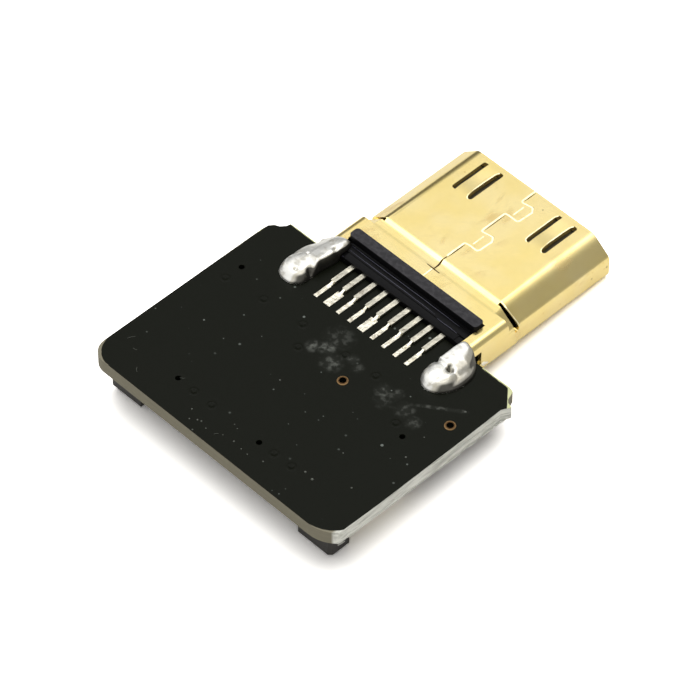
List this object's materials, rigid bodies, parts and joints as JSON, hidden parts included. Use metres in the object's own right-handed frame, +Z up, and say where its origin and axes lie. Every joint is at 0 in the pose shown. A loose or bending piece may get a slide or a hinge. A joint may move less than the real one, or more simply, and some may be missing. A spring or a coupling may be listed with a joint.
{
  "type": "mini hdmi plug",
  "caption": "Mini display plug with a folded gold shell, soldered astride the edge of a small black carrier board with a flat cable connector and its sliding lock beneath.",
  "frame": {"origin": "middle of the footprint, at the height of the lowest face", "axes": "+X across the board, +Y from the cable end towards the mouth of the plug, +Z up through the face with the exposed pads"},
  "size_m": [0.0172, 0.023, 0.0037],
  "materials": {
    "solder_mask": "satin black solder mask, dusty, with bare fibreglass at the edges",
    "tinned_pad": "tinned copper",
    "gold_shell": "gold flash over a folded sheet",
    "black_plastic": "moulded, semi-matt",
    "tinned_metal": "tin plated",
    "solder": "bright, lumpy solder",
    "ivory_plastic": "moulded, matt"
  },
  "bodies": {
    "board": {"circuit_board": "solder_mask", "top_pads": "tinned_pad", "bottom_pads": "tinned_pad", "plug_shell": "gold_shell", "plug_insulator": "black_plastic", "plug_contact_top_1": "tinned_metal", "plug_contact_top_2": "tinned_metal", "plug_contact_top_3": "tinned_metal", "plug_contact_top_4": "tinned_metal", "plug_contact_top_5": "tinned_metal", "plug_contact_top_6": "tinned_metal", "plug_contact_top_7": "tinned_metal", "plug_contact_top_8": "tinned_metal", "plug_contact_top_9": "tinned_metal", "plug_contact_bottom_1": "tinned_metal", "plug_contact_bottom_2": "tinned_metal", "plug_contact_bottom_3": "tinned_metal", "plug_contact_bottom_4": "tinned_metal", "plug_contact_bottom_5": "tinned_metal", "plug_contact_bottom_6": "tinned_metal", "plug_contact_bottom_7": "tinned_metal", "plug_contact_bottom_8": "tinned_metal", "plug_contact_bottom_9": "tinned_metal", "plug_contact_bottom_10": "tinned_metal", "solder_top_left": "solder", "solder_top_right": "solder", "solder_bottom_left": "solder", "solder_bottom_right": "solder", "socket_housing": "ivory_plastic", "hold_down_left": "tinned_metal", "hold_down_right": "tinned_metal", "socket_contact_1": "tinned_metal", "socket_contact_2": "tinned_metal", "socket_contact_3": "tinned_metal", "socket_contact_4": "tinned_metal", "socket_contact_5": "tinned_metal", "socket_contact_6": "tinned_metal", "socket_contact_7": "tinned_metal", "socket_contact_8": "tinned_metal", "socket_contact_9": "tinned_metal", "socket_contact_10": "tinned_metal", "socket_contact_11": "tinned_metal", "socket_contact_12": "tinned_metal", "socket_contact_13": "tinned_metal", "socket_contact_14": "tinned_metal", "socket_contact_15": "tinned_metal", "socket_contact_16": "tinned_metal", "socket_contact_17": "tinned_metal", "socket_contact_18": "tinned_metal", "socket_contact_19": "tinned_metal", "socket_contact_20": "tinned_metal"},
    "lock": {"socket_lock": "black_plastic"}
  },
  "joints": [
    {"name": "lock_slide", "type": "slide", "parent": "board", "child": "lock", "axis": [0, -1, 0], "range_m": [0, 0.0008]}
  ]
}
